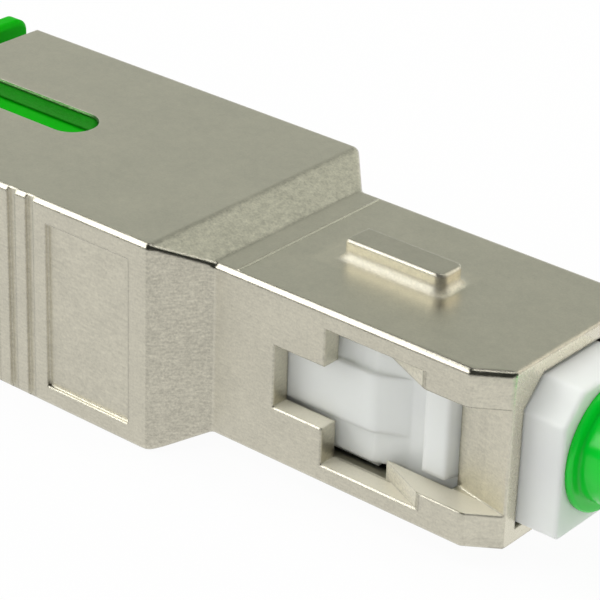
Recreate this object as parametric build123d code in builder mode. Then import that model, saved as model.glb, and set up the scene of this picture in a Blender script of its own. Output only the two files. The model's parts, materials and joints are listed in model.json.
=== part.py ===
"""SC/APC plug-and-socket fixed attenuator, in millimetres.

X runs along the optical axis and points out of the plug end.  +Z is the key side.
X = 0 is the middle of the socket housing and Z = 0 is its underside.
The die-cast shell carries a floating core: plug frame, latch body and sleeve.
The ferrule floats in that core on a coil spring.
"""

import os

from build123d import *

os.makedirs("parts", exist_ok=True)

# Outer shell: a socket housing, a taper, and a plug housing of the standard SC size
box_len = 18.35
box_w = 12.6
box_h = 9.0
taper_len = 1.68
plug_len = 13.42
plug_w = 8.99
plug_h = 7.39
edge_r = 0.25
rim_cut = 0.09
shoulder_r = 0.5
brow_r = 0.7
sole_r = 2.0
foot_r = 0.5
nose_cut_len = 1.3
nose_cut_r = 0.4

axis_z = box_h / 2
x_mouth = -box_len / 2
x_shoulder = box_len / 2
x_foot = x_shoulder + taper_len
x_front = x_foot + plug_len
plug_top = axis_z + plug_h / 2

# Walls of the plug housing, and the room inside it
side_wall = 0.845
top_wall = 0.645
room_w = plug_w - 2 * side_wall
room_h = plug_h - 2 * top_wall
room_y = room_w / 2
room_z = room_h / 2

# Socket: it takes another plug housing with a running gap
socket_gap_w = 0.06
socket_gap_h = 0.04
socket_w = plug_w + socket_gap_w
socket_h = plug_h + socket_gap_h
socket_depth = 13.625
mouth_chamfer = 0.3
x_socket_end = x_mouth + socket_depth

# Keyway in the top of the socket, and the key on the plug housing
keyway_w = 2.04
keyway_len = 9.32
keyway_rim_cut = 0.07
key_w = 1.42
key_len = 4.62
key_h = 0.805
key_back = 5.5
key_front_r = 0.36
key_rear_r = 0.14
key_rim_r = 0.11
key_root_r = 0.32

# Front bars that mating latch hooks ride over
bar_len = 2.55
bar_inner = 2.9
bar_front = 3.6
bar_rear = 3.06
bar_z = 2.2
x_bar = x_front - bar_len

# Side windows, measured back from the plug front, and the release ramps in them
slot_start = 10.3
slot_end = 7.9
slot_z = 1.32
tall_z = 2.88
window_cut = 0.05
ramp_start = 5.55
ramp_end = 3.25
ramp_gap = 0.08
ramp_lip = 0.07
ramp_land = 0.2

# Raised parting line across the top of the plug housing
parting_x = x_foot + 1.07
parting_r = 0.08
parting_h = 0.035

# Grip grooves and label pocket on both sides of the socket housing
groove_count = 6
groove_w = 0.41
ridge_w = 0.59
groove_depth = 0.14
groove_last = 3.08
label_gap = 0.69
label_len = 4.4
label_h = 7.2
label_depth = 0.15

# Plug frame: what it leaves free in the shell, its nose, lugs, bosses and barbs
core_travel = 1.6
frame_gap_y = 0.35
frame_gap_z = 0.1
frame_corner = 0.35
nose_gap = 0.08
nose_drop = 0.05
nose_out = 1.75
nose_corner = 1.1
nose_edge_r = 0.25
nose_rim_r = 0.12
lug_gap = 0.15
lug_end_gap = 0.3
lug_len = 1.1
lug_r = 0.15
lug_slope = 0.2
lug_under_bar = 0.3
boss_gap_y = 0.1
boss_gap_z = 0.1
boss_lead = 0.3
boss_before_slot = 2.0
boss_end = 6.3
boss_end_r = 0.8
catch_start = 5.0
barb_from_rear = 1.675
barb_len = 0.8
barb_out = 0.3
barb_half = 1.2
barb_slit = 0.3
barb_arm_len = 4.2
barb_arm_thick = 0.7

frame_w = room_w - 2 * frame_gap_y
frame_h = room_h - 2 * frame_gap_z
frame_y = frame_w / 2
nose_w = 2 * (bar_inner - nose_gap)
nose_h = frame_h - 2 * nose_drop
nose_y = nose_w / 2
x_nose = x_front + nose_out
x_main = x_front - boss_end
x_catch_start = x_front - catch_start
x_lug1 = x_bar - lug_end_gap
x_lug0 = x_lug1 - lug_len
lug_y = room_y - lug_gap
lug_z = bar_z - lug_under_bar
boss_y = room_y - boss_gap_y
boss_z = slot_z - boss_gap_z
x_boss = x_front - slot_start - boss_before_slot
barb_y = room_y + barb_out

# Ferrule, fibre and split sleeve
ferrule_r = 1.2495
ferrule_fit = 0.0155
ferrule_out = 2.4
tip_chamfer_len = 0.55
tip_chamfer = 0.32
fibre_r = 0.0625
apc_deg = 8
apc_normal = Vector(1, 0, 0).rotate(Axis.Y, apc_deg)
sleeve_len = 11.4
sleeve_wall = 0.335
sleeve_slit = 0.5
sleeve_gap = 0.05
sleeve_end_gap = 0.075
sleeve_chamfer = 0.06
sleeve_r = ferrule_r + ferrule_fit + sleeve_wall
x_tip = x_nose + ferrule_out

# Core stack, from the socket side to the plug side
stop_gap = 0.1
plate_len = 2.0
plate_gap = 0.225
plate_clear = 0.23
plate_corner_r = 0.3
holder_len = 1.25
x_plate1 = x_socket_end - stop_gap
x_plate0 = x_plate1 - plate_len
x_mate_nose = x_plate0 - plate_gap
x_optical = x_mate_nose + ferrule_out
x_sleeve0 = x_optical - sleeve_len / 2
x_sleeve1 = x_optical + sleeve_len / 2
x_frame0 = x_plate1 + holder_len
x_barb = x_frame0 + barb_from_rear

# Sleeve tube and latch hooks of the socket
tube_lip = 0.4
tube_r = 2.25
hook_gap = 0.18
hook_thick = 0.67
hook_half = 2.0
hook_land = 0.55
hook_lead = 1.35
wing_len = 1.1
wing_half = 2.75
wing_thick = 0.6
relief_start = 2.2
relief_wall = 1.15
relief_gap = 0.2
hook_in = lug_y + hook_gap
hook_out = hook_in + hook_thick
hook_tip = nose_y + hook_gap - nose_gap
x_catch = x_mate_nose - (x_nose - x_lug0)
x_hook = x_catch - hook_lead
x_tube = x_sleeve0 - sleeve_end_gap / 3 - tube_lip

# Stop ring, flange and spring behind the ferrule
ring_len = 1.0
rear_bore_r = 2.45
ring_gap = 0.02
ring_bore_gap = 0.15
ring_chamfer = 0.12
cap_bore_r = 2.35
cap_bore_len = 5.025
stop_wall = 0.6
stop_hole_r = 1.45
flange_len = 2.9
flange_r = 2.3
spigot_len = 1.6
spigot_r = 1.68
turn_key_w = 0.6
turn_key_len = 0.8
turn_key_gap = 0.1
turn_key_floor = 1.8
spring_wire_r = 0.2
spring_mean_r = 2.0
spring_turns = 7.5
x_ring0 = x_sleeve1 + sleeve_end_gap
x_ring1 = x_ring0 + ring_len
x_cap_wall = x_nose - cap_bore_len
x_stop = x_cap_wall - stop_wall
x_flange = x_stop - flange_len
spring_len = x_flange - x_ring1

# Ferrule cap
cap_len = 8.8
cap_flange_r = 2.61
cap_flange_len = 0.25
cap_tube_r = 2.12
cap_gap = 0.1
cap_end_gap = 0.3
cap_tip_gap = 1.2
cap_cone = 0.4
cap_end_chamfer = 0.5
cap_rim_cut = 0.07

# Dust plug in the socket
head_gap = 1.425
head_len = 1.0
head_w = 14.2
head_h = 8.77
head_corner_r = 0.64
head_cut = 0.2
dust_gap_w = 0.08
dust_gap_h = 0.06
dust_clear = 0.15
tube_clear = 0.13
x_head = x_mouth - head_gap
x_wide = x_hook - core_travel - dust_clear
x_deep = x_plate0 - core_travel - dust_clear
x_dust_bore = x_tube - core_travel - 3 * dust_clear


def mirrored(points):
    """The outline's upper half and its mirror image below the first axis."""
    return points + [(x, -y) for x, y in reversed(points)]


# Shell, one die casting: its plan and its side view, each run through the other
plan = [
    (x_mouth, box_w / 2),
    (x_shoulder, box_w / 2),
    (x_foot, plug_w / 2),
    (x_front - nose_cut_len, plug_w / 2),
    (x_front, bar_front),
]
side_view = [
    (x_mouth, box_h / 2),
    (x_shoulder, box_h / 2),
    (x_foot, plug_h / 2),
    (x_front, plug_h / 2),
]
plan_corners = ((x_shoulder, shoulder_r), (x_foot, foot_r), (x_front - nose_cut_len, nose_cut_r))
with BuildPart() as shell:
    with BuildSketch(Plane.XY) as plan_sketch:
        with BuildLine():
            Polyline(*mirrored(plan), close=True)
        make_face()
        for x_corner, radius in plan_corners:
            fillet(plan_sketch.vertices().filter_by(lambda v: abs(v.X - x_corner) < 0.01), radius)
    extrude(amount=box_h)
    with BuildSketch(Plane.XZ.shift_origin((0, 0, axis_z))) as side_sketch:
        with BuildLine():
            Polyline(*mirrored(side_view), close=True)
        make_face()
        fillet(side_sketch.vertices().filter_by(lambda v: abs(v.X - x_foot) < 0.01), foot_r)
        shoulders = side_sketch.vertices().filter_by(lambda v: abs(v.X - x_shoulder) < 0.01)
        fillet(shoulders.sort_by(Axis.Y)[-1], brow_r)
        shoulders = side_sketch.vertices().filter_by(lambda v: abs(v.X - x_shoulder) < 0.01)
        fillet(shoulders.sort_by(Axis.Y)[0], sole_r)
    extrude(amount=box_w, both=True, mode=Mode.INTERSECT)
    fillet(shell.edges().filter_by(lambda e: abs((e % 0.5).X) > 0.3), radius=edge_r)
    chamfer(shell.faces().sort_by(Axis.X)[-1].edges(), length=rim_cut)
    chamfer(shell.faces().sort_by(Axis.X)[0].edges(), length=rim_cut)

    # Key, rounder at its front end, with a soft root
    x_key = x_front - key_back - key_len / 2
    with BuildSketch(Plane.XY.offset(plug_top)) as key_sketch:
        with Locations((x_key, 0)):
            Rectangle(key_len, key_w)
        fillet(key_sketch.vertices().group_by(Axis.X)[-1], radius=key_front_r)
        fillet(key_sketch.vertices().group_by(Axis.X)[0], radius=key_rear_r)
    extrude(amount=key_h)
    key_edges = shell.edges().filter_by(
        lambda e: abs(e.center().X - x_key) < key_len / 2 + 0.01 and abs(e.center().Y) < key_w / 2 + 0.01
    )
    fillet(key_edges.filter_by(lambda e: abs(e.center().Z - plug_top - key_h) < 0.01), radius=key_rim_r)
    fillet(key_edges.filter_by(lambda e: abs(e.center().Z - plug_top) < 0.01), radius=key_root_r)

    # Raised parting line across the top of the plug housing
    with Locations((parting_x, 0, plug_top + parting_h - parting_r)):
        Cylinder(parting_r, plug_w - 2 * edge_r, rotation=(90, 0, 0))

    # Grip grooves on both sides, and the label pockets beside them
    for side in (1, -1):
        for i in range(groove_count):
            x_groove = groove_last - groove_w / 2 - i * (groove_w + ridge_w)
            with Locations((x_groove, side * box_w / 2, axis_z)):
                Box(groove_w, 2 * groove_depth, box_h, mode=Mode.SUBTRACT)
        with Locations((groove_last + label_gap + label_len / 2, side * box_w / 2, axis_z)):
            Box(label_len, 2 * label_depth, label_h, mode=Mode.SUBTRACT)

    # Socket, with a lead-in at its mouth and relief for the opening hooks
    with Locations(((x_mouth + x_socket_end) / 2, 0, axis_z)):
        Box(socket_depth, socket_w, socket_h, mode=Mode.SUBTRACT)
    mouth_edges = shell.edges().filter_by(
        lambda e: abs(e.center().X - x_mouth) < 0.01
        and abs(e.center().Y) < socket_w / 2 + 0.01
        and abs(e.center().Z - axis_z) < socket_h / 2 + 0.01
    )
    chamfer(mouth_edges, length=mouth_chamfer)
    with Locations(((x_mouth + relief_start + x_socket_end) / 2, 0, axis_z)):
        Box(
            socket_depth - relief_start,
            box_w - 2 * relief_wall,
            2 * (wing_half + relief_gap),
            mode=Mode.SUBTRACT,
        )

    # Keyway, open at the mouth and round at its inner end
    x_keyway_end = x_mouth + keyway_len - keyway_w / 2
    with BuildSketch(Plane.XY.offset(axis_z)):
        with Locations(((x_mouth + x_keyway_end) / 2, 0)):
            Rectangle(x_keyway_end - x_mouth, keyway_w)
        with Locations((x_keyway_end, 0)):
            Circle(keyway_w / 2)
    extrude(amount=box_h, mode=Mode.SUBTRACT)
    keyway_rim = shell.edges().filter_by(
        lambda e: abs(e.center().Z - box_h) < 0.01
        and abs(e.center().Y) < keyway_w / 2 + 0.01
        and x_mouth + mouth_chamfer < e.center().X < x_keyway_end + keyway_w
    )
    chamfer(keyway_rim, length=keyway_rim_cut)

    # Room for the core, then the opening between the front bars
    with Locations(((x_socket_end + x_bar) / 2, 0, axis_z)):
        Box(x_bar - x_socket_end, room_w, room_h, mode=Mode.SUBTRACT)
    with BuildSketch(Plane.YZ.offset(x_bar)) as opening:
        with Locations((0, axis_z)):
            Rectangle(2 * bar_inner, room_h)
        chamfer(opening.vertices().group_by(Axis.Y)[-1], length=nose_corner)
    extrude(amount=bar_len + 1, mode=Mode.SUBTRACT)

    # Stepped side windows, and the recessed outer faces of the bars
    window = [
        (x_front - slot_start, slot_z),
        (x_front - slot_end, slot_z),
        (x_front - slot_end, tall_z),
        (x_front - ramp_end, tall_z),
        (x_front - ramp_end, bar_z),
        (x_bar, bar_z),
    ]
    for side in (1, -1):
        with BuildSketch(Plane.XZ.shift_origin((0, 0, axis_z)).offset(-side * room_y)):
            with BuildLine():
                Polyline(*mirrored(window), close=True)
            make_face()
        extrude(amount=2 * side_wall, both=True, mode=Mode.SUBTRACT)
        with BuildSketch(Plane.XY.offset(axis_z - bar_z)):
            with BuildLine():
                Polyline(
                    (x_bar - ramp_land, side * bar_rear),
                    (x_bar, side * bar_rear),
                    (x_front, side * bar_front),
                    (x_front + 1, side * bar_front),
                    (x_front + 1, side * plug_w),
                    (x_bar - ramp_land, side * plug_w),
                    close=True,
                )
            make_face()
        extrude(amount=2 * bar_z, mode=Mode.SUBTRACT)
    window_rim = shell.edges().filter_by(
        lambda e: abs(abs(e.center().Y) - plug_w / 2) < 0.01
        and x_front - slot_start - 0.01 < e.center().X < x_front - ramp_end + 0.01
        and abs(e.center().Z - axis_z) < tall_z + 0.01
    )
    chamfer(window_rim, length=window_cut)

    # Release ramps in the windows: they lift the wings of the mating hooks
    ramp_in = frame_y + ramp_gap
    ramp_h = room_z + side_wall / 2 - bar_z
    for side in (1, -1):
        for low in (axis_z + bar_z, axis_z - bar_z - ramp_h):
            with BuildSketch(Plane.XY.offset(low)):
                with BuildLine():
                    Polyline(
                        (x_front - ramp_start, side * ramp_in),
                        (x_front - ramp_start, side * (ramp_in + ramp_lip)),
                        (x_front - ramp_end, side * plug_w / 2),
                        (x_front - ramp_end + ramp_land, side * (plug_w / 2 - ramp_land)),
                        (x_bar + ramp_land / 2, side * (room_y + ramp_land / 2)),
                        (x_bar + ramp_land / 2, side * ramp_in),
                        close=True,
                    )
                make_face()
            extrude(amount=ramp_h)

    # Pockets for the frame's snap barbs, long enough for the release travel
    with Locations((x_barb + barb_len / 2 - core_travel / 2, 0, axis_z)):
        Box(
            barb_len + core_travel + 2 * stop_gap,
            2 * (barb_y + stop_gap),
            2 * (barb_half + 3 * stop_gap),
            mode=Mode.SUBTRACT,
        )

# Plug frame, a white moulding
with BuildPart() as plug_frame:
    with BuildSketch(Plane.YZ.offset(x_frame0)) as body_sketch:
        with Locations((0, axis_z)):
            Rectangle(frame_w, frame_h)
        chamfer(body_sketch.vertices(), length=frame_corner)
    extrude(amount=x_main - x_frame0)
    with BuildSketch(Plane.YZ.offset(x_main)) as nose_sketch:
        with Locations((0, axis_z)):
            Rectangle(nose_w, nose_h)
        chamfer(nose_sketch.vertices().group_by(Axis.Y)[-1], length=nose_corner)
        fillet(nose_sketch.vertices(), radius=nose_edge_r)
    extrude(amount=x_nose - x_main)
    fillet(plug_frame.faces().sort_by(Axis.X)[-1].edges(), radius=nose_rim_r)
    core_y = nose_y - barb_arm_thick / 2
    for side in (1, -1):
        # The side runs down to the recess where the hooks drop in
        with BuildSketch(Plane.XY.offset(axis_z - frame_h / 2 + frame_corner)):
            with BuildLine():
                Polyline(
                    (x_main, side * core_y),
                    (x_main, side * frame_y),
                    (x_catch_start, side * nose_y),
                    (x_catch_start, side * core_y),
                    close=True,
                )
            make_face()
        extrude(amount=frame_h - 2 * frame_corner)
        # Lug that the hooks catch behind
        with BuildSketch(Plane.XY.offset(axis_z - lug_z)) as lug_sketch:
            with BuildLine():
                Polyline(
                    (x_lug0, side * core_y),
                    (x_lug0, side * lug_y),
                    (x_lug1, side * lug_y),
                    (x_lug1 + lug_slope, side * nose_y),
                    (x_lug1 + lug_slope, side * core_y),
                    close=True,
                )
            make_face()
            fillet(lug_sketch.vertices().filter_by(lambda v: abs(abs(v.Y) - lug_y) < 0.01), radius=lug_r)
        extrude(amount=2 * lug_z)
        # Guide boss behind the window
        with BuildSketch(Plane.XY.offset(axis_z - boss_z)) as boss_sketch:
            with BuildLine():
                Polyline(
                    (x_boss, side * core_y),
                    (x_boss, side * frame_y),
                    (x_boss + boss_lead, side * boss_y),
                    (x_main, side * boss_y),
                    (x_catch_start, side * nose_y),
                    (x_catch_start, side * core_y),
                    close=True,
                )
            make_face()
            fillet(boss_sketch.vertices().filter_by(lambda v: abs(v.X - x_main) < 0.01), radius=boss_end_r)
        extrude(amount=2 * boss_z)
        # Snap barb
        with BuildSketch(Plane.XY.offset(axis_z - barb_half)):
            with BuildLine():
                Polyline(
                    (x_barb, side * (frame_y - barb_arm_thick / 2)),
                    (x_barb, side * barb_y),
                    (x_barb + barb_out, side * barb_y),
                    (x_barb + barb_len, side * boss_y),
                    (x_barb + barb_len, side * (frame_y - barb_arm_thick / 2)),
                    close=True,
                )
            make_face()
        extrude(amount=2 * barb_half)
    # Rear bore for the spring, the stop wall, and the front bore for the cap
    for x_bore, length, radius in (
        (x_frame0, x_stop - x_frame0, rear_bore_r),
        (x_stop, stop_wall, stop_hole_r),
        (x_cap_wall, x_nose - x_cap_wall, cap_bore_r),
    ):
        with BuildSketch(Plane.YZ.offset(x_bore)):
            with Locations((0, axis_z)):
                Circle(radius)
        extrude(amount=length, mode=Mode.SUBTRACT)
    mouth = plug_frame.edges().filter_by(GeomType.CIRCLE).filter_by(
        lambda e: abs(e.center().X - x_nose) < 0.01
    )
    chamfer(mouth, length=nose_rim_r)
    # Two keys hold the angled ferrule from turning, and slits let the barbs spring inward
    turn_key_top = (rear_bore_r + frame_h / 2) / 2
    turn_key_mid = (turn_key_floor + turn_key_top) / 2
    for side in (1, -1):
        with Locations((x_stop - turn_key_len / 2, 0, axis_z + side * turn_key_mid)):
            Box(turn_key_len, turn_key_w, turn_key_top - turn_key_floor)
        for up in (1, -1):
            slit_z = axis_z + up * (barb_half + barb_slit)
            with Locations((x_frame0 + barb_arm_len / 2, side * frame_y, slit_z)):
                Box(barb_arm_len, 2 * barb_arm_thick, barb_slit, mode=Mode.SUBTRACT)

# Latch body: plate, sleeve tube and the two hooks of the socket
with BuildPart() as latch_body:
    with Locations(((x_plate0 + x_plate1) / 2, 0, axis_z)):
        Box(plate_len, socket_w - plate_clear, socket_h - plate_clear)
    fillet(latch_body.edges().filter_by(Axis.X), radius=plate_corner_r)
    with BuildSketch(Plane.YZ.offset(x_tube)):
        with Locations((0, axis_z)):
            Circle(tube_r)
    extrude(amount=x_plate0 - x_tube)
    for side in (1, -1):
        with BuildSketch(Plane.XY.offset(axis_z - hook_half)):
            with BuildLine():
                Polyline(
                    (x_plate0, side * hook_in),
                    (x_catch, side * hook_in),
                    (x_catch, side * hook_tip),
                    (x_catch - hook_land, side * hook_tip),
                    (x_hook, side * (hook_in + hook_gap)),
                    (x_hook, side * (hook_out - hook_gap)),
                    (x_hook + hook_gap, side * hook_out),
                    (x_plate0, side * hook_out),
                    close=True,
                )
            make_face()
        extrude(amount=2 * hook_half)
        # Wings that the release ramps push on
        with Locations((x_catch - wing_len / 2, side * (hook_out - wing_thick / 2), axis_z)):
            Box(wing_len, wing_thick, 2 * wing_half)
    x_seat = x_tube + tube_lip
    for x_bore, length, radius in (
        (x_seat, x_plate1 - x_seat, sleeve_r + sleeve_gap),
        (x_tube, tube_lip, ferrule_r + plate_gap / 2),
    ):
        with BuildSketch(Plane.YZ.offset(x_bore)):
            with Locations((0, axis_z)):
                Circle(radius)
        extrude(amount=length, mode=Mode.SUBTRACT)

# Sleeve holder: it closes the latch body from the plug side
with BuildPart() as sleeve_holder:
    with Locations(((x_plate1 + x_frame0) / 2, 0, axis_z)):
        Box(holder_len, frame_w, frame_h)
    fillet(sleeve_holder.edges().filter_by(Axis.X), radius=plate_corner_r)
    with BuildSketch(Plane.YZ.offset(x_frame0)):
        with Locations((0, axis_z)):
            Circle(rear_bore_r - sleeve_gap)
    extrude(amount=x_ring0 - x_frame0)
    with BuildSketch(Plane.YZ.offset(x_plate1)):
        with Locations((0, axis_z)):
            Circle(sleeve_r + sleeve_gap)
    extrude(amount=x_ring0 - x_plate1, mode=Mode.SUBTRACT)

# Stop ring: it keeps the sleeve in and carries the spring
with BuildPart() as stop_ring:
    with BuildSketch(Plane.YZ.offset(x_ring0)):
        with Locations((0, axis_z)):
            Circle(rear_bore_r - ring_gap)
            Circle(ferrule_r + ring_bore_gap, mode=Mode.SUBTRACT)
    extrude(amount=ring_len)
    chamfer(stop_ring.edges().filter_by(GeomType.CIRCLE), length=ring_chamfer)

# Split alignment sleeve
with BuildPart() as alignment_sleeve:
    with BuildSketch(Plane.YZ.offset(x_sleeve0)):
        with Locations((0, axis_z)):
            Circle(sleeve_r)
            Circle(ferrule_r + ferrule_fit, mode=Mode.SUBTRACT)
    extrude(amount=sleeve_len)
    with Locations((x_optical, 0, axis_z - sleeve_r)):
        Box(sleeve_len, sleeve_slit, sleeve_r, mode=Mode.SUBTRACT)
    chamfer(alignment_sleeve.edges().filter_by(GeomType.CIRCLE), length=sleeve_chamfer)

# Ferrule: one long rod, angled at both ends, with the fibre bore through it
with BuildPart() as ferrule:
    with BuildSketch(Plane.YZ.offset(x_optical)):
        with Locations((0, axis_z)):
            Circle(ferrule_r)
    extrude(amount=x_tip - x_optical)
    chamfer(ferrule.edges().filter_by(GeomType.CIRCLE), length=tip_chamfer_len, length2=tip_chamfer)
    with BuildSketch(Plane.YZ.offset(x_optical)):
        with Locations((0, axis_z)):
            Circle(fibre_r)
    extrude(amount=x_tip - x_optical, mode=Mode.SUBTRACT)
    for x_end, kept in ((x_tip, Keep.BOTTOM), (x_optical, Keep.TOP)):
        split(bisect_by=Plane((x_end, 0, axis_z), z_dir=apc_normal), keep=kept)

# Attenuating fibre, bonded in the ferrule
with BuildPart() as attenuating_fibre:
    with BuildSketch(Plane.YZ.offset(x_optical)):
        with Locations((0, axis_z)):
            Circle(fibre_r)
    extrude(amount=x_tip - x_optical)
    for x_end, kept in ((x_tip, Keep.BOTTOM), (x_optical, Keep.TOP)):
        split(bisect_by=Plane((x_end, 0, axis_z), z_dir=apc_normal), keep=kept)

# Metal flange pressed on the ferrule, with slots for the frame's keys
with BuildPart() as ferrule_flange:
    for x_step, length, radius in (
        (x_flange, flange_len, flange_r),
        (x_flange - spigot_len, spigot_len, spigot_r),
    ):
        with BuildSketch(Plane.YZ.offset(x_step)):
            with Locations((0, axis_z)):
                Circle(radius)
        extrude(amount=length)
    chamfer(ferrule_flange.faces().sort_by(Axis.X)[0].edges(), length=ring_chamfer)
    chamfer(ferrule_flange.faces().sort_by(Axis.X)[-1].edges(), length=ring_chamfer)
    with BuildSketch(Plane.YZ.offset(x_flange - spigot_len)):
        with Locations((0, axis_z)):
            Circle(ferrule_r)
    extrude(amount=spigot_len + flange_len, mode=Mode.SUBTRACT)
    slot_floor = turn_key_floor - turn_key_gap
    for side in (1, -1):
        with Locations((x_stop - turn_key_len / 2, 0, axis_z + side * (slot_floor + flange_r))):
            Box(
                turn_key_len + 2 * turn_key_gap,
                turn_key_w + 2 * turn_key_gap,
                2 * flange_r,
                mode=Mode.SUBTRACT,
            )

# Coil spring with ground ends
with BuildPart() as spring:
    with BuildLine() as coil:
        Helix(
            pitch=spring_len / spring_turns,
            height=spring_len,
            radius=spring_mean_r,
            center=(x_ring1, 0, axis_z),
            direction=(1, 0, 0),
        )
    with BuildSketch(Plane(coil.line @ 0, z_dir=coil.line % 0)):
        RegularPolygon(spring_wire_r, 6)
    sweep(is_frenet=True)
    with Locations((x_ring1 + spring_len / 2, 0, axis_z)):
        Box(spring_len, 3 * spring_mean_r, 3 * spring_mean_r, mode=Mode.INTERSECT)

# Ferrule cap: a flanged tube, closed at its outer end
with BuildPart() as ferrule_cap:
    with BuildSketch(Plane.XZ.shift_origin((0, 0, axis_z))):
        with BuildLine():
            Polyline(
                (x_cap_wall + cap_end_gap, ferrule_r + ferrule_fit),
                (x_tip + cap_tip_gap, ferrule_r + ferrule_fit),
                (x_tip + cap_tip_gap + cap_cone, ferrule_r - cap_cone),
                (x_tip + cap_tip_gap + cap_cone, 0),
                (x_nose + cap_len, 0),
                (x_nose + cap_len, cap_tube_r),
                (x_nose + cap_flange_len, cap_tube_r),
                (x_nose + cap_flange_len, cap_flange_r),
                (x_nose, cap_flange_r),
                (x_nose, cap_bore_r - cap_gap),
                (x_cap_wall + cap_end_gap, cap_bore_r - cap_gap),
                close=True,
            )
        make_face()
    revolve(axis=Axis((0, 0, axis_z), (1, 0, 0)), revolution_arc=360)
    chamfer(ferrule_cap.faces().sort_by(Axis.X)[-1].edges(), length=cap_end_chamfer)
    cap_steps = ferrule_cap.edges().filter_by(GeomType.CIRCLE).filter_by(
        lambda e: abs(e.center().X - x_nose - cap_flange_len) < 0.01
    )
    chamfer(cap_steps.sort_by(SortBy.RADIUS)[-1], length=cap_rim_cut)

# Dust plug in the socket: a housing-shaped body on a wide flat head
with BuildPart() as socket_cap:
    with BuildSketch(Plane.YZ.offset(x_head - head_len)):
        with Locations((0, axis_z)):
            RectangleRounded(head_w, head_h, head_corner_r)
    extrude(amount=head_len)
    chamfer(socket_cap.faces().sort_by(Axis.X)[0].edges(), length=head_cut)
    chamfer(socket_cap.faces().sort_by(Axis.X)[-1].edges(), length=head_cut)
    for x_end, width in ((x_wide, plug_w - dust_gap_w), (x_deep, 2 * (hook_tip - dust_clear))):
        with Locations(((x_head + x_end) / 2 - head_len / 4, 0, axis_z)):
            Box(x_end - x_head + head_len / 2, width, plug_h - dust_gap_h)
    with BuildSketch(Plane.YZ.offset(x_dust_bore)):
        with Locations((0, axis_z)):
            Circle(tube_r + tube_clear)
    extrude(amount=x_deep - x_dust_bore, mode=Mode.SUBTRACT)

pieces = {
    "shell": shell,
    "plug_frame": plug_frame,
    "latch_body": latch_body,
    "sleeve_holder": sleeve_holder,
    "stop_ring": stop_ring,
    "alignment_sleeve": alignment_sleeve,
    "ferrule": ferrule,
    "attenuating_fibre": attenuating_fibre,
    "ferrule_flange": ferrule_flange,
    "spring": spring,
    "ferrule_cap": ferrule_cap,
    "socket_cap": socket_cap,
}
for label, piece in pieces.items():
    piece.part.label = label
    export_step(piece.part, f"parts/{label}.step")
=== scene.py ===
# %% [markdown]
# A plug-and-socket fibre optic attenuator, dressed for its picture.
#
# The solids come from the CAD model as a fixed frame: a satin nickel shell, a white plug frame,
# green dust caps, and a ceramic ferrule on a spring inside. This script never moves or resizes
# them. It gives each surface its finish, adds the spring's real round wire, sets up a small
# studio, and points a camera from where the photograph was taken.

# %% Load the frame
import json
import math

import bmesh
import bpy
import numpy as np
from mathutils import Matrix, Vector


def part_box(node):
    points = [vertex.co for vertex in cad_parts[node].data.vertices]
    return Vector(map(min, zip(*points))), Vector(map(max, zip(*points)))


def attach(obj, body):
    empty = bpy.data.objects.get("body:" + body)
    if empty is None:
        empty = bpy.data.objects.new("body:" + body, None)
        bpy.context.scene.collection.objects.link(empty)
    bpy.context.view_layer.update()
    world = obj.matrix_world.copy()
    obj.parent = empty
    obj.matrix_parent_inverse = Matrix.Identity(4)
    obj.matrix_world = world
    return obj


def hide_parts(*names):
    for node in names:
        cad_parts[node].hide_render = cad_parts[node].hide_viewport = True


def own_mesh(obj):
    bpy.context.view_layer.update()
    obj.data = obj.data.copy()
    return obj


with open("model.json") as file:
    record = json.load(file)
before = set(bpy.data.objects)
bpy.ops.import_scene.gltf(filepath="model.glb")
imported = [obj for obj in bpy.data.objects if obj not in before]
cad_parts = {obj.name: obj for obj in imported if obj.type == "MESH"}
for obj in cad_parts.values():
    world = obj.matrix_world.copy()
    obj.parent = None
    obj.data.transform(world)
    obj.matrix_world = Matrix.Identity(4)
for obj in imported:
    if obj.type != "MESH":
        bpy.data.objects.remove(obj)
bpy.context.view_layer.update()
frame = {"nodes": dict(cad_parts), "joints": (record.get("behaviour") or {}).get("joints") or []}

nodes = frame["nodes"]
print("CAD nodes:", ", ".join(sorted(nodes)))

# %% [markdown]
# Blender works in metres, and the object is small, so lengths below are written in millimetres
# and multiplied by MM. The shell's box, read from the frame, gives the front, the top and the
# optical axis, so that the finishes follow the CAD model.

# %% Places read from the frame
MM = 0.001

shell_low, shell_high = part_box("shell")
axis_z = (shell_low.z + shell_high.z) / 2
print("plug front at", round(shell_high.x / MM, 3), "mm, optical axis at", round(axis_z / MM, 3), "mm up")

# %% [markdown]
# Shader maths reads best as plain arithmetic. Wire wraps one output socket of a material's node
# tree, and the operators it overloads add Math nodes, so that 1 - mask or grain * 0.2 can be
# written as it is thought. Finish owns the tree: its node method makes any other node from a
# type, its settings and the values or links of its sockets.

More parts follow.
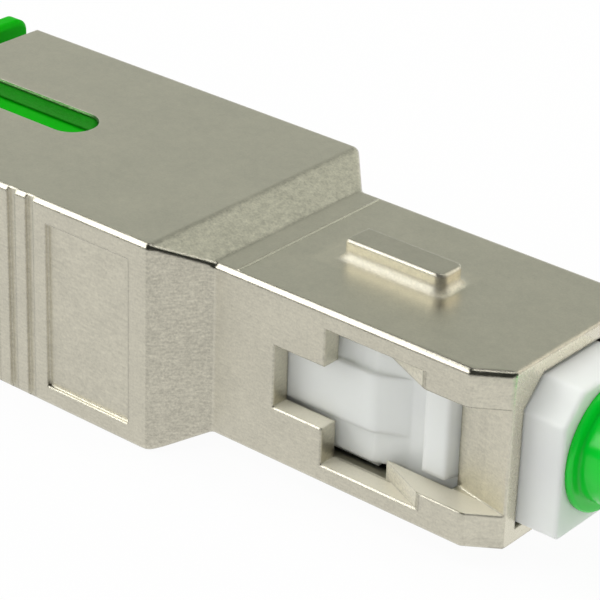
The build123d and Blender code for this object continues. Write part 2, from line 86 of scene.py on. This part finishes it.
# %% Shader maths as arithmetic
class Wire:
    """One output socket. Arithmetic on it adds Math nodes and gives a new Wire."""

    def __init__(self, finish, socket):
        self.finish = finish
        self.socket = socket

    def math(self, operation, *values):
        node = self.finish.node("ShaderNodeMath", {"operation": operation}, values)
        return self.finish.wire(node, 0)

    def __add__(self, other):
        return self.math("ADD", self, other)

    def __mul__(self, other):
        return self.math("MULTIPLY", self, other)

    def __sub__(self, other):
        return self.math("SUBTRACT", self, other)

    def __rsub__(self, other):
        return self.math("SUBTRACT", other, self)

    def __abs__(self):
        return self.math("ABSOLUTE", self)

    __radd__ = __add__
    __rmul__ = __mul__

    def lower(self, other):
        """The smaller of this and another number."""
        return self.math("MINIMUM", self, other)

    def higher(self, other):
        """The larger of this and another number."""
        return self.math("MAXIMUM", self, other)

    def rise(self, start, end):
        """0 below start, 1 above end, and a smooth step between them."""
        settings = {"interpolation_type": "SMOOTHSTEP"}
        node = self.finish.node("ShaderNodeMapRange", settings, [self, start, end, 0.0, 1.0])
        return self.finish.wire(node, 0)

    def band(self, low, high, soft):
        """1 between low and high, and 0 outside them, with edges that are soft wide."""
        return self.rise(low - soft, low) * (1 - self.rise(high, high + soft))


MIX_SOCKETS = {"RGBA": (6, 7, 2), "VECTOR": (4, 5, 1)}


class Finish:
    """A material, or a world, whose node tree is built by code. MIX_SOCKETS gives the places of
    a Mix node's two values and of its result, for colours and for directions."""

    def __init__(self, owner):
        self.owner = owner
        owner.use_nodes = True
        self.tree = owner.node_tree
        self.tree.nodes.clear()

    def node(self, kind, settings=None, inputs=()):
        """Makes a node, sets its settings, then sets or links its inputs by name or by order."""
        made = self.tree.nodes.new(kind)
        for key, value in (settings or {}).items():
            setattr(made, key, value)
        pairs = inputs.items() if isinstance(inputs, dict) else enumerate(inputs)
        for key, value in pairs:
            if isinstance(value, Wire):
                self.tree.links.new(value.socket, made.inputs[key])
            else:
                made.inputs[key].default_value = value
        return made

    def wire(self, node, output):
        return Wire(self, node.outputs[output])

    def split(self, vector):
        """The X, Y and Z of a vector, as three wires."""
        node = self.node("ShaderNodeSeparateXYZ", {}, [vector])
        return [self.wire(node, axis) for axis in "XYZ"]

    def place(self):
        """The point on the object, in metres."""
        return self.wire(self.node("ShaderNodeTexCoord"), "Object")

    def soft_edges(self, radius_mm):
        """The direction that the surface faces, with every sharp edge rounded by a small radius."""
        node = self.node("ShaderNodeBevel", {"samples": 6}, {"Radius": radius_mm * MM})
        return self.wire(node, "Normal")

    def in_object(self, vector):
        """A direction turned from the world's axes into the object's own."""
        settings = {"vector_type": "NORMAL", "convert_from": "WORLD", "convert_to": "OBJECT"}
        return self.wire(self.node("ShaderNodeVectorTransform", settings, [vector]), "Vector")

    def stretched(self, vector, scale):
        node = self.node("ShaderNodeMapping", {}, {"Vector": vector, "Scale": scale})
        return self.wire(node, "Vector")

    def noise(self, vector, size_mm, detail=2.0, roughness=0.5):
        """Soft noise from 0 to 1 whose blobs are about size_mm across."""
        inputs = {"Vector": vector, "Scale": 1 / (size_mm * MM), "Detail": detail, "Roughness": roughness}
        return self.wire(self.node("ShaderNodeTexNoise", {}, inputs), "Fac")

    def mixed(self, kind, factor, first, second):
        """A colour (RGBA) or a direction (VECTOR) from first to second, as factor goes from 0 to 1."""
        place_first, place_second, result = MIX_SOCKETS[kind]
        settings = {"data_type": kind, "clamp_factor": True}
        node = self.node("ShaderNodeMix", settings, {0: factor, place_first: first, place_second: second})
        return self.wire(node, result)

    def blend(self, factor, first, second):
        """A colour from first to second. A plain colour is given as red, green and blue."""
        colours = [colour if isinstance(colour, Wire) else (*colour, 1.0) for colour in (first, second)]
        return self.mixed("RGBA", factor, *colours)

    def bump(self, height, depth_mm, normal=None):
        """Turns a height from 0 to 1 into a bumped normal, depth_mm from lowest to highest."""
        inputs = {"Strength": 1.0, "Distance": depth_mm * MM, "Height": height}
        if normal is not None:
            inputs["Normal"] = normal
        return self.wire(self.node("ShaderNodeBump", {}, inputs), "Normal")

    def surface(self, **inputs):
        """Ends the tree in a Principled surface. An underscore in a name stands for a space."""
        named = {key.replace("_", " "): value for key, value in inputs.items()}
        shader = self.node("ShaderNodeBsdfPrincipled", {}, named)
        self.node("ShaderNodeOutputMaterial", {}, {"Surface": self.wire(shader, "BSDF")})
        print(self.owner.name, "has", len(self.tree.nodes), "shader nodes")


def material(name):
    return Finish(bpy.data.materials.new(name))


def dress(obj, finish):
    """Puts one finish on every face of an object."""
    obj.data.materials.clear()
    obj.data.materials.append(finish.owner)


# %% [markdown]
# Some masks also paint light and shade into the colour, each noted where the tone adds it.
# The shell is a zinc casting, blasted to a satin skin and plated with nickel. Nickel is a warm
# grey that reflects about two thirds of the light, a little less blue than red. What keeps it
# from looking like grey paint is how it changes over the part:
#
# - the reflection is blurred, but it still changes with the surface's direction;
# - a fine grain breaks it up, coarser on the tapered faces, which drag along the mould;
# - the outer edges, which tumbling has rounded and polished, reflect sharply;
# - the key's root and the faces inside the windows, which tumbling doesn't reach, stay dull.
#
# A paint-like single value would lose all that, and a picture wrapped round the shell would have
# to be drawn by hand. Masks worked out from the place and the direction of the surface give each
# area its own finish at any distance. The first cell says where a shaded point is, and the next
# ones turn that into masks, each 1 on its own area and 0 elsewhere.

# %% Where a point is on the shell
MASK_EDGE = 0.07
MIDDLE = (1.15, 1.30)


class ShellPoint:
    """Wires that give a point's place on the shell, in millimetres, and the way it faces. Sharp
    edges count as rounded by MASK_EDGE, so that they have a direction of their own. The middle
    is the strip on both sides of Y = 0 that holds the key and the keyway."""

    def __init__(self, finish):
        self.x, self.y, self.z = [part * (1 / MM) for part in finish.split(finish.place())]
        facing = finish.in_object(finish.soft_edges(MASK_EDGE))
        self.face_x, self.face_y, self.face_z = finish.split(facing)
        self.aside = abs(self.y)
        self.middle = 1 - self.aside.rise(*MIDDLE)


# %% [markdown]
# A face of a box looks along one axis only, so an edge is where the surface looks along two axes
# at once: the smaller of two parts of its direction is the mask. The long edges were polished by
# tumbling. Edges inside a window are the same by that measure, so the window's mask takes them
# out again. The front face has a mask of its own, because its skin is smoother; it is also
# painted paler, a painted reflection of the white nose, and the rim round it is painted darker,
# a painted dark reflection.

# %% Masks of the faces, the edges and the parting line
AXIS = axis_z / MM
TOP = shell_high.z / MM
FRONT = shell_high.x / MM
PLUG_TOP = AXIS + 7.39 / 2
PARTING = FRONT - 12.35


def face_masks(at):
    """The level faces, the tapered faces, the front face, and the rim round the front face."""
    level = abs(at.face_z).rise(0.985, 0.998)
    taper = abs(at.face_x).band(0.30, 0.80, 0.10) * (1 - at.x.rise(FRONT - 2.0, FRONT - 1.6))
    front = at.face_x.rise(0.90, 0.97) * at.x.rise(FRONT - 0.05, FRONT - 0.02)
    rim = abs(at.face_x).lower(abs(at.face_z)).rise(0.15, 0.35) * at.x.rise(FRONT - 0.5, FRONT - 0.4)
    return level, taper, front, rim


def long_edges(at):
    """Where the surface turns from level to upright, along the shell."""
    return abs(at.face_y).lower(abs(at.face_z)).rise(0.10, 0.30)


def parting_bead(at):
    """The fine raised line that the joint of the mould leaves across the plug's top."""
    raised = at.z.rise(PLUG_TOP + 0.003, PLUG_TOP + 0.010)
    return raised * at.x.band(PARTING - 0.09, PARTING + 0.09, 0.01)


# %% [markdown]
# The key stands on the plug's top in a soft hollow, which gathers the lamps into a glow beside
# it; the key and the hollow are also painted lighter, a painted highlight. The keyway is a slot in
# the socket's top. Its walls are smooth and mirror the green plug, and they are painted darker,
# as painted shade. The strip under their upper rim is painted dark green, a painted reflection of
# the green plug in shade.

# %% Masks of the key and the keyway
KEY_START = FRONT - 10.45
KEY_END = KEY_START + 4.62


def key_masks(at):
    """The key, its polished upper rim, the hollow round its root, and its upright corners."""
    key = at.middle * at.z.rise(PLUG_TOP + 0.004, PLUG_TOP + 0.02) * at.x.rise(KEY_START - 1, KEY_START)
    rim = key * at.z.rise(PLUG_TOP + 0.60, PLUG_TOP + 0.68)
    root = (1 - at.aside.rise(1.35, 1.75)) * at.z.band(PLUG_TOP - 0.04, PLUG_TOP + 0.35, 0.10)
    root = root * at.x.band(KEY_START - 0.5, KEY_END + 0.4, 0.4)
    corner = key * abs(at.face_x).lower(abs(at.face_y)).rise(0.15, 0.35)
    return key, rim, root, corner


def keyway_masks(at):
    """The keyway's walls, and the strip under their upper rim that gets a painted green shade."""
    walls = at.middle * (1 - at.x.rise(0.8, 1.0)) * at.z.band(PLUG_TOP - 0.2, TOP - 0.010, 0.005)
    return walls, walls * at.z.rise(TOP - 0.22, TOP - 0.12)


# %% [markdown]
# The side windows are cut through the plug housing's walls. Tumbling reaches none of the faces
# inside them, and the plate is thin on the ledges and ramps, which makes these partly matt. The
# faces inside them, the ledges and ramps most, and the faces there that look sideways are painted
# lighter, as painted light, and the creases inside them are painted darker, as painted shade. The
# room behind the windows is deep in shade, painted near black.

# %% Masks of the windows
WINDOW_START = KEY_START - 1.6
WINDOW_HALF_HEIGHT = 3.15
ROOM_Y = 3.65


def window_masks(at):
    """All that lies inside the windows' walls; of that, what doesn't face sideways; and of that,
    the ledges and ramps, which face up or back."""
    window = at.aside.band(ROOM_Y - 0.29, ROOM_Y + 0.75, 0.03) * at.x.rise(WINDOW_START, WINDOW_START + 0.1)
    window = window * (1 - abs(at.z - AXIS).rise(WINDOW_HALF_HEIGHT, WINDOW_HALF_HEIGHT + 0.03))
    inner = window * (1 - abs(at.face_y).rise(0.5, 0.8))
    ledge = window * at.face_z.rise(0.3, 0.8).higher((0 - at.face_x).rise(0.2, 0.35))
    return window, inner, ledge


def room_shade(at):
    """The floor and the roof of the room behind the windows."""
    deep = (1 - at.aside.rise(ROOM_Y - 0.90, ROOM_Y - 0.50)) * (1 - at.x.rise(FRONT - 0.3, FRONT - 0.1))
    return deep * abs(at.z - AXIS).band(2.4, 3.1, 0.05)


# %% [markdown]
# Now the finish itself. The tone starts as grain and streaks, and each mask then adds or takes
# away its amount, so the list reads as a recipe. The roughness is put together in the same way.

# %% Satin nickel
NICKEL = (0.635, 0.605, 0.500)
TONE_RANGE = 0.28
SHADE = (0.02, 0.02, 0.015)
# painted reflection of the green plug in shade, for the strip under the keyway's rim
KEYWAY_PAINTED_GREEN_SHADE = (0.03, 0.14, 0.02)
POLISHED = 0.13
GRAIN_DEPTH = 0.011


def summed(start, parts):
    """The start, plus each mask times its amount."""
    for mask, amount in parts:
        start = start + mask * amount
    return start


def satin_nickel():
    finish = material("satin_nickel")
    at = ShellPoint(finish)
    level, taper, front, front_rim = face_masks(at)
    key, key_rim, key_root, key_corner = key_masks(at)
    keyway, keyway_rim_shade = keyway_masks(at)
    window, inner, ledge = window_masks(at)
    bead = parting_bead(at)
    edge = long_edges(at)
    polish = (edge * (1 - at.middle + key_rim * 0.5) * (1 - window)).higher(bead)
    crease = window * edge

    place = finish.place()
    grain = finish.noise(place, 0.10, detail=3.0, roughness=0.7) - 0.5
    cloud = finish.noise(place, 1.6) - 0.5
    streak = finish.noise(finish.stretched(place, (1.0, 1.0, 3.5)), 0.35) - 0.5
    texture = grain * (0.9 - level * 0.4) + streak * (0.55 - level * 0.3)
    tone = summed(texture * (1 + taper * 0.7 - front * 0.7), [
        (cloud, 0.35),
        # painted shade: the tapered faces are darker the more they look sideways
        (taper * abs(at.face_y), -0.25),
        # painted reflection: the front face is paler, as it mirrors the white nose
        (front, 0.42),
        # painted dark reflection on the rim round the front face
        (front_rim, -0.35),
        # painted highlight on the parting bead
        (bead, 0.5),
        # painted light inside the windows: most on the ledges and ramps, less on the sideways faces
        (inner, 0.1),
        (ledge, 0.4),
        (window - inner, 0.12),
        # painted shade in the creases inside the windows
        (crease, -0.4),
        # painted highlight on the key and the hollow round its root
        (key - key_rim + key_root, 0.18),
        # painted light on the key's upright corners
        (key_corner, 0.3),
        (key_rim * at.face_z.rise(0.95, 1.0), -0.2),
        # painted shade on the keyway's walls
        (keyway, -0.2),
    ])
    darkest, lightest = [[c * (1 + side * TONE_RANGE) for c in NICKEL] for side in (-1, 1)]
    colour = finish.blend(0.5 + tone, darkest, lightest)
    colour = finish.blend(room_shade(at), colour, SHADE)
    # painted green shade under the keyway's rim, a painted reflection of the green plug
    colour = finish.blend(keyway_rim_shade * (0.9 - grain * 0.6), colour, KEYWAY_PAINTED_GREEN_SHADE)

    satin = summed(0.37, [
        (cloud, 0.10),
        (grain, 0.12),
        (front, -0.10),
        (keyway, -0.27),
        (key_root, 0.07),
        (key_corner, 0.25),
        (crease, 0.2),
    ])
    height = (grain * (1 - level * 0.55 - front * 0.6) + streak * 0.25) * (1 - polish * 0.8)
    hollow = finish.mixed("VECTOR", key_root, finish.soft_edges(0.16), finish.soft_edges(0.60))
    finish.surface(
        Base_Color=colour,
        Metallic=1 - ledge * 0.8,
        Roughness=satin * (1 - polish) + polish * POLISHED,
        Normal=finish.bump(height, GRAIN_DEPTH, hollow),
    )
    return finish


dress(nodes["shell"], satin_nickel())

# %% [markdown]
# The plug frame and the parts behind it are a milky glass-filled plastic. Light goes a little
# way in, so its shadows are never deep and its colour takes on a tint from what is near. Plain
# white paint would look like chalk beside it. Subsurface scattering over about a millimetre
# gives the milkiness. The mould left the surface smooth, with very faint waves.

# %% White plastic
WHITE = (0.830, 0.850, 0.820)


def white_plastic():
    finish = material("white_plastic")
    place = finish.place()
    wave = finish.noise(place, 1.9, detail=1.0)
    speck = finish.noise(place, 0.25, detail=2.0)
    colour = finish.blend(wave * 0.6 + speck * 0.4, [c * 0.965 for c in WHITE], WHITE)
    finish.surface(
        Base_Color=colour,
        Roughness=0.36 + (speck - 0.5) * 0.10,
        IOR=1.50,
        Subsurface_Weight=0.6,
        Subsurface_Radius=(1.0, 1.0, 0.95),
        Subsurface_Scale=0.0010,
        Normal=finish.bump(wave + speck * 0.15, 0.008, finish.soft_edges(0.25)),
    )
    return finish


white = white_plastic()
for name in ("plug_frame", "latch_body", "sleeve_holder"):
    dress(nodes[name], white)

# %% [markdown]
# The dust caps are soft polyethylene in the green that marks an angled connector. The colour is
# deep, because light scatters inside before it comes out. The plug in the socket is thick and
# darker. The cap over the ferrule is a thin tube, so it glows a little, and its skin is glossier.
# One function makes both, because only the green, the gloss and the roughness differ.

# %% Green plastic
DEEP_GREEN = (0.003, 0.420, 0.004)
BRIGHT_GREEN = (0.001, 0.700, 0.036)


def green_plastic(name, green, gloss, roughness):
    finish = material(name)
    place = finish.place()
    wave = finish.noise(place, 1.2, detail=2.0)
    speck = finish.noise(place, 0.18, detail=2.0)
    colour = finish.blend(wave * 0.7 + speck * 0.3, [c * 0.90 for c in green], green)
    finish.surface(
        Base_Color=colour,
        Roughness=roughness + (speck - 0.5) * 0.08,
        IOR=1.51,
        Specular_IOR_Level=gloss,
        Subsurface_Weight=0.25,
        Subsurface_Radius=(0.2, 1.0, 0.2),
        Subsurface_Scale=0.0007,
        Normal=finish.bump(wave + speck * 0.2, 0.008, finish.soft_edges(0.22)),
    )
    return finish


dress(nodes["socket_cap"], green_plastic("green_plug", DEEP_GREEN, gloss=0.05, roughness=0.45))
dress(nodes["ferrule_cap"], green_plastic("green_cap", BRIGHT_GREEN, gloss=0.40, roughness=0.15))

# %% [markdown]
# Inside are the precise parts: ground zirconia, which is white and glossy, turned brass with a
# bright plate, drawn spring wire, and the glass fibre. They show when a cap is off. Grinding and
# turning leave fine rings round the X axis, so the noise is squeezed along X and drawn out
# across it.

# %% Zirconia, plated brass, spring wire and glass
def zirconia():
    finish = material("zirconia")
    stretched = finish.stretched(finish.place(), (6.0, 1.0, 1.0))
    lines = finish.noise(stretched, 0.5, detail=2.0)
    finish.surface(
        Base_Color=finish.blend(lines, (0.82, 0.81, 0.76), (0.88, 0.87, 0.83)),
        Roughness=0.10 + lines * 0.05,
        IOR=2.1,
        Normal=finish.bump(lines, 0.001),
    )
    return finish


def turned_metal(name, colour, line_mm):
    """Metal with fine turning lines round the X axis, line_mm apart."""
    finish = material(name)
    stretched = finish.stretched(finish.place(), (1.0, 0.05, 0.05))
    lines = finish.noise(stretched, line_mm, detail=3.0)
    finish.surface(
        Base_Color=finish.blend(lines, [c * 0.9 for c in colour], colour),
        Metallic=1.0,
        Roughness=0.20 + lines * 0.12,
        Normal=finish.bump(lines, 0.002),
    )
    return finish


def fibre_glass():
    finish = material("fibre_glass")
    haze = finish.noise(finish.place(), 0.05)
    finish.surface(
        Base_Color=finish.blend(haze, (0.80, 0.86, 0.90), (0.90, 0.93, 0.95)),
        Roughness=0.05 + haze * 0.05,
        IOR=1.46,
    )
    return finish


ceramic = zirconia()
plated = turned_metal("plated_brass", (0.72, 0.69, 0.62), 0.06)
steel = turned_metal("spring_steel", (0.60, 0.59, 0.57), 0.04)
dress(nodes["ferrule"], ceramic)
dress(nodes["alignment_sleeve"], ceramic)
dress(nodes["ferrule_flange"], plated)
dress(nodes["stop_ring"], plated)
dress(nodes["attenuating_fibre"], fibre_glass())

# %% [markdown]
# The CAD spring is a plain coil that gives the motion model its size. Here it gets its real round
# wire and its closed ends: the pitch falls to one wire thickness over the last turn at each end.
# A curve with a bevel could draw it too, but a grid of points worked out as whole arrays keeps
# the ends exactly where the CAD spring has them. The centreline is a helix, and a circle is
# carried along it in the plane of the outward and the sideways direction.

# %% The spring's wire
WIRE_R = 0.2 * MM
RING_SIDES = 20
STEPS_PER_TURN = 40
TURNS = 7.5
END_TURNS = 1.0


def coil_mesh(x_start, x_end, mean_r):
    """A coil along X. The angle t runs evenly. The height x is the running sum of a pitch that
    is one wire thick in the end turns and even between them. The surface point is the helix
    point, plus cos s outwards and sin s along the cross product, times the wire's radius."""
    count = int(TURNS * STEPS_PER_TURN) + 1
    turn = np.linspace(0, TURNS, count)
    inner = np.clip(np.minimum(turn, TURNS - turn) / END_TURNS, 0, 1)
    eased = inner * inner * (3 - 2 * inner)
    close = 2 * WIRE_R
    length = x_end - x_start - 2 * WIRE_R
    spare = (length - close * TURNS) / eased.mean() / TURNS
    rate = close + spare * eased
    climb = np.concatenate([[0], np.cumsum((rate[1:] + rate[:-1]) / 2)]) * (TURNS / (count - 1))
    x = x_start + WIRE_R + climb * length / climb[-1]
    t = 2 * np.pi * turn
    outward = np.stack([np.zeros(count), np.cos(t), np.sin(t)], 1)
    line = outward * mean_r
    line[:, 0] += x
    line[:, 2] += axis_z
    along = np.gradient(line, axis=0)
    along /= np.linalg.norm(along, axis=1)[:, None]
    sideways = np.cross(along, outward)
    s = np.linspace(0, 2 * np.pi, RING_SIDES, endpoint=False)
    ring = np.cos(s)[None, :, None] * outward[:, None] + np.sin(s)[None, :, None] * sideways[:, None]
    points = (line[:, None] + WIRE_R * ring).reshape(-1, 3)
    row, side = np.meshgrid(np.arange(count - 1), np.arange(RING_SIDES), indexing="ij")
    after = (side + 1) % RING_SIDES
    quads = np.stack(
        [row * RING_SIDES + side, row * RING_SIDES + after,
         (row + 1) * RING_SIDES + after, (row + 1) * RING_SIDES + side], -1).reshape(-1, 4)
    first = list(range(RING_SIDES))
    last = [(count - 1) * RING_SIDES + i for i in range(RING_SIDES)]
    mesh = bpy.data.meshes.new("spring_coil")
    mesh.from_pydata(points.tolist(), [], quads.tolist() + [first[::-1], last])
    mesh.shade_smooth()
    return mesh


def face_outwards(mesh):
    """Turns every face of a closed mesh so that it points out of it."""
    work = bmesh.new()
    work.from_mesh(mesh)
    bmesh.ops.recalc_face_normals(work, faces=work.faces)
    work.to_mesh(mesh)
    work.free()


spring_low, spring_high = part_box("spring")
mean_r = (spring_high.z - spring_low.z) / 2 - WIRE_R
coil = bpy.data.objects.new("spring_coil", coil_mesh(spring_low.x, spring_high.x, mean_r))
bpy.context.scene.collection.objects.link(coil)
face_outwards(coil.data)
dress(coil, steel)
print("spring:", round((spring_high.x - spring_low.x) / MM, 2), "mm long,", len(coil.data.polygons), "faces")

# %% [markdown]
# The spring stands on the stop ring, which stays with the core, and shortens when the ferrule is
# pushed back. So it rides on the core.

# %% The spring rides on the core
float_joint = next(j for j in frame["joints"] if j["name"] == "ferrule_float")
float_travel = -min(float_joint["range_m"])
coil_length = spring_high.x - spring_low.x
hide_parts("spring")
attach(coil, "core")
1 - float_travel / coil_length
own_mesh(coil)
print("the spring keeps", round(1 - float_travel / coil_length, 3), "of its length")

# %% [markdown]
# The photograph was taken from close by with a long lens, a little above the object. The
# camera's place is given as it would be on a tripod: the point it looks at, how far away it is,
# how far round and how high, and its small roll. The focal length follows from the size of the
# object in the picture.

# %% The camera
AIM = Vector((11.488, 0.0, 5.154)) * MM
DISTANCE = 103.22 * MM
AZIMUTH = math.radians(39.17)
ELEVATION = math.radians(27.60)
ROLL = math.radians(1.944)
FOCAL_MM = 157.94
SENSOR_MM = 36.0


def look_from(azimuth, elevation, roll):
    """The camera's axes as a matrix: it looks down its own -Z, and its X is to the right."""
    back = Vector((
        math.sin(azimuth) * math.cos(elevation),
        -math.cos(azimuth) * math.cos(elevation),
        math.sin(elevation),
    ))
    level = Vector((0, 0, 1)).cross(back).normalized()
    upright = back.cross(level)
    right = level * math.cos(roll) + upright * math.sin(roll)
    up = back.cross(right)
    return back, Matrix((right, up, back)).transposed()


back, axes = look_from(AZIMUTH, ELEVATION, ROLL)
camera_data = bpy.data.cameras.new("camera")
camera_data.lens = FOCAL_MM
camera_data.sensor_width = SENSOR_MM
camera_data.clip_start = 0.005
camera_data.clip_end = 20
camera = bpy.data.objects.new("camera", camera_data)
camera.matrix_world = Matrix.Translation(AIM + back * DISTANCE) @ axes.to_4x4()
bpy.context.scene.collection.objects.link(camera)
bpy.context.scene.camera = camera
print("camera:", round(DISTANCE / MM, 1), "mm from its aim, lens", FOCAL_MM, "mm")

# %% [markdown]
# Metal shows its surroundings, so the studio decides how the nickel looks. The level faces
# mirror what is behind the object, the upright ones mirror the floor in front, and the polished
# edges sweep across everything between. The world is the room: white at the horizon, as a paper
# sweep is, then a pale wall behind the object. Above the wall and behind the camera it is dark,
# which gives the edges their black lines. The wall is lower on the left, so the mirrored dark
# starts sooner there and the near edges get a soft dark line above the white one.

# %% The room
WALL_LEFT = 0.61
WALL_RIGHT = 0.74
WALL_COLOUR = (0.955, 1.0, 0.925)
WALL_TOP_LEFT = 0.64
WALL_TOP_RIGHT = 0.90
SWEEP_TOP = (0.08, 0.22)
CAMERA_SIDE = (-0.05, 0.30)
LEFT_TO_RIGHT = (-0.30, 0.0)
DARK = 0.05
WHITE_LIGHT = (1.0, 1.0, 1.0)


def room():
    world = bpy.data.worlds.new("studio_room")
    bpy.context.scene.world = world
    finish = Finish(world)
    x, y, z = finish.split(finish.wire(finish.node("ShaderNodeTexCoord"), "Generated"))
    away = 1 - (x * math.sin(AZIMUTH) - y * math.cos(AZIMUTH)).rise(*CAMERA_SIDE)
    right = x.rise(*LEFT_TO_RIGHT)
    wall_top = WALL_TOP_LEFT + right * (WALL_TOP_RIGHT - WALL_TOP_LEFT)
    level = WALL_LEFT + right * (WALL_RIGHT - WALL_LEFT)
    wall = (1 - (z - wall_top).rise(-0.05, 0.05)) * away
    sweep = (1 - z.rise(*SWEEP_TOP)) * away
    light = sweep.higher(DARK + wall * (level - DARK))
    rays = finish.node("ShaderNodeLightPath")
    seen = finish.wire(rays, "Is Camera Ray").higher(finish.wire(rays, "Is Transmission Ray"))
    background = finish.node("ShaderNodeBackground", {}, {
        "Color": finish.blend(seen.higher(sweep), WALL_COLOUR, WHITE_LIGHT),
        "Strength": light.higher(seen),
    })
    finish.node("ShaderNodeOutputWorld", {}, {"Surface": finish.wire(background, "Background")})
    print("room:", len(finish.tree.nodes), "shader nodes")


room()

# %% [markdown]
# The lamps are plain panels. Two hang 0.3 m overhead, a broad one to the left and a narrow strip
# to the right: the gap between them is what the slanted front corner mirrors, so its edge stays
# black. One stands to the front left, from about 18 to 42 degrees up, and carries the edge
# highlight on down to its dark lower line. A small warm one at the back right lights the front
# rim and the end of the key. The two fills are hidden from reflections: only matt surfaces
# answer to them, so the plastic is bright and the metal keeps its contrast.

# %% The lamps
TARGET = Vector((8, 0, 5)) * MM


def panel(name, place, along, size, radiance, down=False, colour=WHITE_LIGHT, mirrored=True):
    """A rectangular lamp, placed from the object. Its long side runs along, and it faces down or
    towards the object. Its power is its radiance times pi times its area."""
    data = bpy.data.lights.new(name, "AREA")
    data.shape = "RECTANGLE"
    data.size, data.size_y = size
    data.energy = radiance * math.pi * size[0] * size[1]
    data.color = colour
    lamp = bpy.data.objects.new(name, data)
    lamp.visible_glossy = mirrored
    back_side = Vector((0, 0, 1)) if down else Vector(place).normalized()
    side = Vector(along) - back_side * back_side.dot(Vector(along))
    side.normalize()
    turn = Matrix((side, back_side.cross(side), back_side)).transposed()
    lamp.matrix_world = Matrix.Translation(TARGET + Vector(place)) @ turn.to_4x4()
    bpy.context.scene.collection.objects.link(lamp)


WARM_LIGHT = (1.0, 0.88, 0.80)
panel("overhead_left", (-0.237, -0.0675, 0.30), (0, 1, 0), (0.315, 0.156), 2.3, down=True)
panel("overhead_strip", (0.060, 0.054, 0.30), (0.96, 0.28, 0), (0.255, 0.060), 2.3, down=True)
panel("front_left", (-0.27, -0.34, 0.25), (0.78, -0.62, 0), (0.30, 0.21), 3.4)
panel("back_right", (0.28, 0.345, 0.23), (0.78, -0.62, 0), (0.20, 0.20), 2.1, colour=WARM_LIGHT)
panel("front_fill", (0.30, -0.58, 0.25), (1, 0, 0), (0.50, 0.30), 2.0, mirrored=False)
panel("top_fill", (0.0, -0.1, 0.60), (1, 0, 0), (0.60, 0.60), 2.0, down=True, mirrored=False)
print("lamps:", ", ".join(lamp.name for lamp in bpy.data.lights))

# %% [markdown]
# The floor is white. To the camera it is nearly pure white, as in a catalogue picture, and it
# keeps a faint shadow. To everything else it is a plain pale sheet that lights the object from
# below, and that is what the upright faces of the shell mirror.

# %% The floor
FLOOR_SIZE = 3.0
FLOOR_PAPER = (0.82, 0.82, 0.81, 1.0)
FLOOR_SHOWN = 0.95
FLOOR_GLOW = 0.86


def floor_sheet():
    half = FLOOR_SIZE / 2
    corners = [(-half, -half, 0), (half, -half, 0), (half, half, 0), (-half, half, 0)]
    mesh = bpy.data.meshes.new("floor")
    mesh.from_pydata(corners, [], [(0, 1, 2, 3)])
    floor = bpy.data.objects.new("floor", mesh)
    bpy.context.scene.collection.objects.link(floor)
    finish = material("floor_white")
    seen = finish.wire(finish.node("ShaderNodeLightPath"), "Is Camera Ray")
    paper = finish.node("ShaderNodeBsdfDiffuse", {}, {"Color": FLOOR_PAPER})
    strength = seen + (1 - seen) * FLOOR_GLOW
    glow = finish.node("ShaderNodeEmission", {}, {"Color": (1, 1, 1, 1), "Strength": strength})
    mix = finish.node(
        "ShaderNodeMixShader", {}, [FLOOR_SHOWN, finish.wire(paper, 0), finish.wire(glow, 0)]
    )
    finish.node("ShaderNodeOutputMaterial", {}, {"Surface": finish.wire(mix, 0)})
    dress(floor, finish)


floor_sheet()
bpy.context.scene.view_settings.view_transform = "Standard"
print("floor:", FLOOR_SIZE, "m square")
